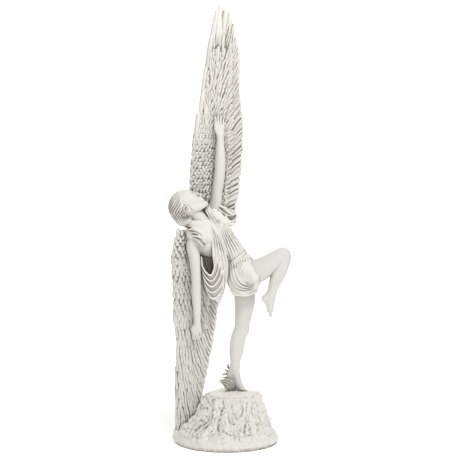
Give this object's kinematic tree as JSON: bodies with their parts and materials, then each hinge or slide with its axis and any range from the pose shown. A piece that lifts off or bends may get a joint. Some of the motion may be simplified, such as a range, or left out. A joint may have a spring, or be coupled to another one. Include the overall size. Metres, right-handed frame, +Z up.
{
  "type": "cemetery angel statue",
  "caption": "Standing winged figure in a short belted tunic, dancing on a rock, one wing raised and one lowered.",
  "frame": {"origin": "on the flat underside, below the middle of the rock", "axes": "+Z up along the raised wing, -Y towards the front of the statue, +X the way the figure faces"},
  "size_m": [0.2627, 0.1867, 0.9471],
  "materials": {
    "antique_stone": "dull off-white stone-filled resin with a grey-beige wash left in the recesses"
  },
  "bodies": {
    "root": {"angel_statue": "antique_stone"}
  },
  "joints": []
}
